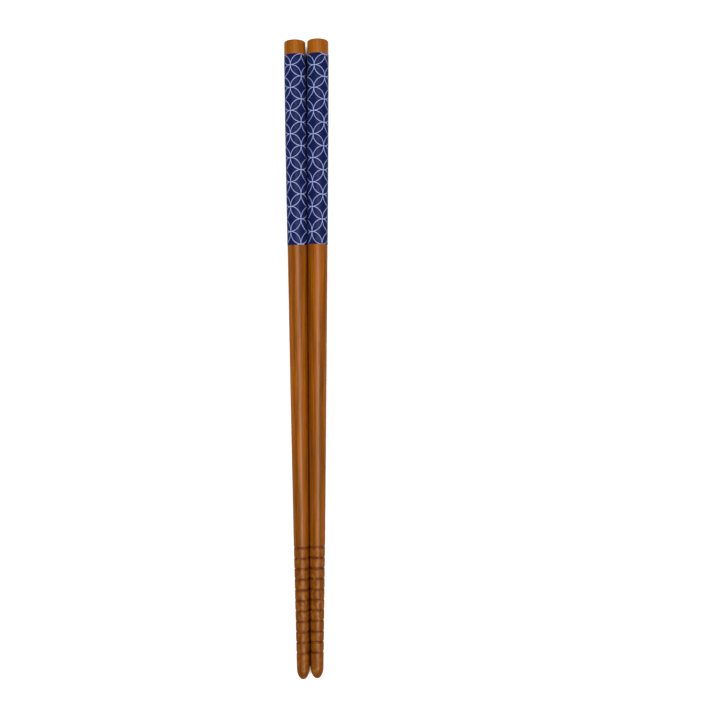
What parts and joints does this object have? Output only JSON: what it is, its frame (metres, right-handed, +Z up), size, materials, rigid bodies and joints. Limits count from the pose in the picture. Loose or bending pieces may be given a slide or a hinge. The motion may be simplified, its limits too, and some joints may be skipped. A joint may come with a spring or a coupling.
{
  "type": "pair of chopsticks",
  "caption": "Slim round tapered wooden chopsticks side by side, with a printed film around each handle and fine grip grooves before the rounded tips, for picking up food.",
  "frame": {"origin": "middle of the pair's box, on the surface that the pair lies on", "axes": "+Y along the pair towards the handle ends, +X across the pair, +Z up"},
  "size_m": [0.0156, 0.2253, 0.0078],
  "materials": {
    "wood": "clear satin lacquer on brown wood",
    "film": "satin printed film, navy field"
  },
  "bodies": {
    "root": {"left_stick": "wood", "right_stick": "wood", "left_film": "film", "right_film": "film"}
  },
  "joints": []
}
